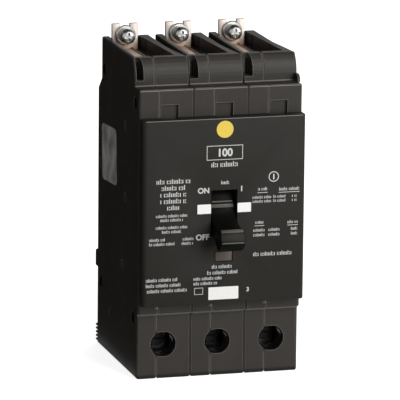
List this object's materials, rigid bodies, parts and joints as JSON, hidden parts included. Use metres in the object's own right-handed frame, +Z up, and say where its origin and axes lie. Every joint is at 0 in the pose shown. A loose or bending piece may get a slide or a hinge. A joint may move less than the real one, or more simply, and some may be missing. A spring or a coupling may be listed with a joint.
{
  "type": "molded case circuit breaker",
  "caption": "Bolt-on molded case circuit breaker with side-by-side pole shells, a front plate, a toggle handle, fork line tabs on top and box lugs below.",
  "frame": {"origin": "middle of the footprint at the bottom of the case, on the floor plane", "axes": "+Z up from the load lugs to the line tabs, front plate and handle towards -Y, poles along X"},
  "size_m": [0.076, 0.099, 0.1524],
  "materials": {
    "molded_case": "satin black thermoset molding",
    "molded_plate": "fine matte charcoal molding",
    "handle_black": "glossy black molding",
    "button_grey": "grey-brown molding",
    "insulator": "dark brown insulating molding",
    "tinned_copper": "tin plated copper, slightly pink",
    "copper": "bare copper",
    "zinc_steel": "zinc plated steel",
    "bare_steel": "bare sheet steel",
    "black_steel": "black oxide steel",
    "lug_aluminium": "tin plated aluminium"
  },
  "bodies": {
    "case": {"pole_case_1": "molded_case", "pole_case_2": "molded_case", "pole_case_3": "molded_case", "pole_cover_1": "molded_case", "pole_cover_2": "molded_case", "pole_cover_3": "molded_case", "front_plate": "molded_plate", "handle_pin": "bare_steel", "mechanism_frame": "zinc_steel", "cradle_pin": "bare_steel", "line_terminal_1": "tinned_copper", "line_terminal_2": "tinned_copper", "line_terminal_3": "tinned_copper", "arc_chute_1": "bare_steel", "arc_chute_2": "bare_steel", "arc_chute_3": "bare_steel", "bimetal_1": "copper", "bimetal_2": "copper", "bimetal_3": "copper", "magnet_yoke_1": "bare_steel", "magnet_yoke_2": "bare_steel", "magnet_yoke_3": "bare_steel", "load_strap_1": "tinned_copper", "load_strap_2": "tinned_copper", "load_strap_3": "tinned_copper", "load_lug_1": "lug_aluminium", "load_lug_2": "lug_aluminium", "load_lug_3": "lug_aluminium", "braid_1": "copper", "braid_2": "copper", "braid_3": "copper", "case_rivet_1": "black_steel", "case_rivet_2": "black_steel", "case_rivet_3": "black_steel", "case_rivet_4": "black_steel"},
    "handle": {"handle": "handle_black", "mechanism_spring": "bare_steel"},
    "contacts": {"crossbar": "insulator", "drive_crank": "bare_steel", "contact_arm_1": "copper", "contact_arm_2": "copper", "contact_arm_3": "copper"},
    "cradle": {"cradle": "bare_steel"},
    "lower_link": {"link_lower": "bare_steel"},
    "upper_link": {"link_upper": "bare_steel"},
    "trip_bar": {"trip_bar": "insulator"},
    "trip_button": {"trip_button": "button_grey"},
    "lug_screw_1": {"lug_screw_1": "black_steel"},
    "lug_screw_2": {"lug_screw_2": "black_steel"},
    "lug_screw_3": {"lug_screw_3": "black_steel"},
    "line_screw_1": {"line_screw_1": "zinc_steel", "line_washer_1": "zinc_steel"},
    "line_screw_2": {"line_screw_2": "zinc_steel", "line_washer_2": "zinc_steel"},
    "line_screw_3": {"line_screw_3": "zinc_steel", "line_washer_3": "zinc_steel"}
  },
  "joints": [
    {"name": "handle_swing", "type": "hinge", "parent": "case", "child": "handle", "pos_m": [0, -0.01448, 0.0773], "axis": [-1, 0, 0], "range_deg": [0, 36]},
    {"name": "contact_swing", "type": "hinge", "parent": "case", "child": "contacts", "pos_m": [0, 0.01152, 0.08], "axis": [-1, 0, 0], "range_deg": [0, 20]},
    {"name": "trip_push", "type": "slide", "parent": "case", "child": "trip_button", "axis": [0, 1, 0], "range_m": [0, 0.0012], "stiffness_N_per_m": 400},
    {"name": "trip_bar_turn", "type": "hinge", "parent": "case", "child": "trip_bar", "pos_m": [0, 0.02352, 0.06], "axis": [1, 0, 0], "range_deg": [0, 20]},
    {"name": "cradle_drop", "type": "hinge", "parent": "case", "child": "cradle", "pos_m": [0, -0.00848, 0.05], "axis": [-1, 0, 0], "range_deg": [0, 12]},
    {"name": "lower_link_turn", "type": "hinge", "parent": "cradle", "child": "lower_link", "pos_m": [0, 0.00252, 0.058], "axis": [-1, 0, 0], "range_deg": [0, 22]},
    {"name": "upper_link_turn", "type": "hinge", "parent": "contacts", "child": "upper_link", "pos_m": [0, 0.00537, 0.07351], "axis": [1, 0, 0], "range_deg": [0, 56.2]},
    {"name": "lug_clamp_1", "type": "slide", "parent": "case", "child": "lug_screw_1", "axis": [0, 1, 0], "range_m": [0, 0.008]},
    {"name": "lug_clamp_2", "type": "slide", "parent": "case", "child": "lug_screw_2", "axis": [0, 1, 0], "range_m": [0, 0.008]},
    {"name": "lug_clamp_3", "type": "slide", "parent": "case", "child": "lug_screw_3", "axis": [0, 1, 0], "range_m": [0, 0.008]},
    {"name": "line_loosen_1", "type": "slide", "parent": "case", "child": "line_screw_1", "axis": [0, -1, 0], "range_m": [0, 0.004]},
    {"name": "line_loosen_2", "type": "slide", "parent": "case", "child": "line_screw_2", "axis": [0, -1, 0], "range_m": [0, 0.004]},
    {"name": "line_loosen_3", "type": "slide", "parent": "case", "child": "line_screw_3", "axis": [0, -1, 0], "range_m": [0, 0.004]}
  ],
  "couplings": [
    {"joint": "contact_swing", "follows": "handle_swing", "ratio": 0.5555},
    {"joint": "lower_link_turn", "follows": "handle_swing", "ratio": 0.6111},
    {"joint": "upper_link_turn", "follows": "handle_swing", "ratio": 1.5611},
    {"joint": "trip_bar_turn", "follows": "trip_push", "rad_per_m": 290.8},
    {"joint": "cradle_drop", "follows": "trip_push", "rad_per_m": 174.5}
  ]
}
